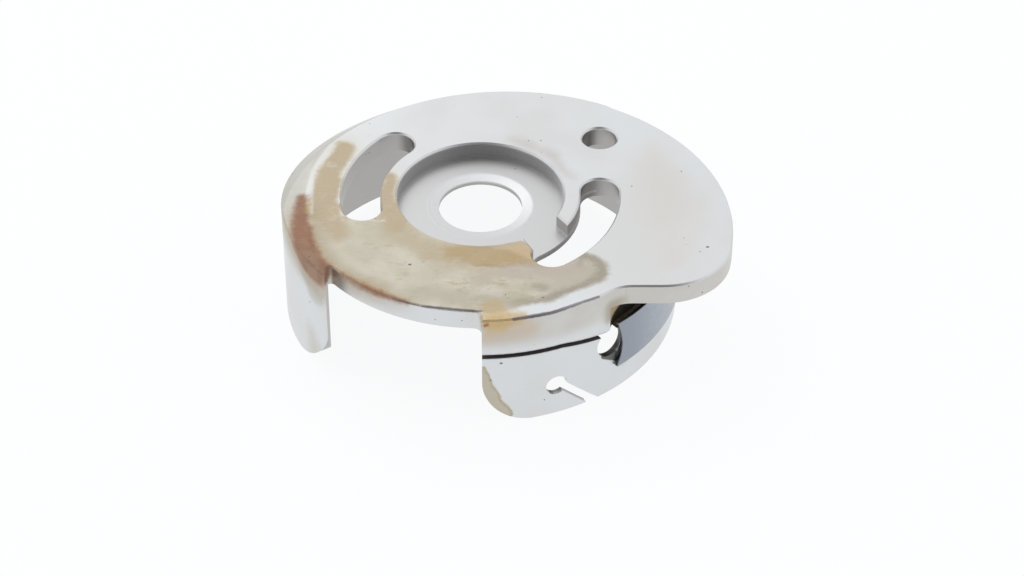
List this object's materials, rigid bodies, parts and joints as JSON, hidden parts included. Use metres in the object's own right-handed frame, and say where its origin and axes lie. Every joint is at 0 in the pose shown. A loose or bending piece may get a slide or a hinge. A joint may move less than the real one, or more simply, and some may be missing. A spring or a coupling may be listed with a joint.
{
  "type": "bobbin case",
  "caption": "Open round steel bobbin case body with a side lobe, curved slots, a threading slit and a leaf tension spring held by screws.",
  "frame": {"origin": "centre of the hub bore at the inner face of the face plate", "axes": "+Z along the bore axis, out of the face plate, so the open rim is at the bottom; the thread slit and the wall opening are at the front, -Y; the lobe stands out at +X"},
  "size_m": [0.032, 0.0284, 0.0093],
  "materials": {
    "worn_steel": "satin, handled, with tan oil stain and red-brown rust",
    "blued_spring_steel": "smooth, blue-grey temper colour",
    "screw_steel": "turned, lightly worn",
    "brake_spring_steel": "bare spring steel",
    "rivet_steel": "bare steel, peened"
  },
  "bodies": {
    "case": {"case_body": "worn_steel", "spring_fixing_screw": "screw_steel", "brake_spring_rivet": "rivet_steel"},
    "tension_spring": {"tension_spring": "blued_spring_steel"},
    "adjusting_screw": {"tension_adjusting_screw": "screw_steel"},
    "brake_spring": {"brake_spring": "brake_spring_steel"}
  },
  "joints": [
    {"name": "tension_spring_flex", "type": "hinge", "parent": "case", "child": "tension_spring", "pos_m": [0.01335, 0.00539, -0.0035], "axis": [0, 0, 1], "range_deg": [0, 1], "stiffness_Nm_per_rad": 0.05},
    {"name": "adjusting_screw_turn", "type": "hinge", "parent": "case", "child": "adjusting_screw", "pos_m": [0.01436, -0.001, -0.0035], "axis": [0.9976, -0.0698, 0], "range_deg": [-180, 180]},
    {"name": "brake_spring_flex", "type": "hinge", "parent": "case", "child": "brake_spring", "pos_m": [0, 0.0098, -0.0003], "axis": [-1, 0, 0], "range_deg": [0, 5], "stiffness_Nm_per_rad": 0.01}
  ]
}
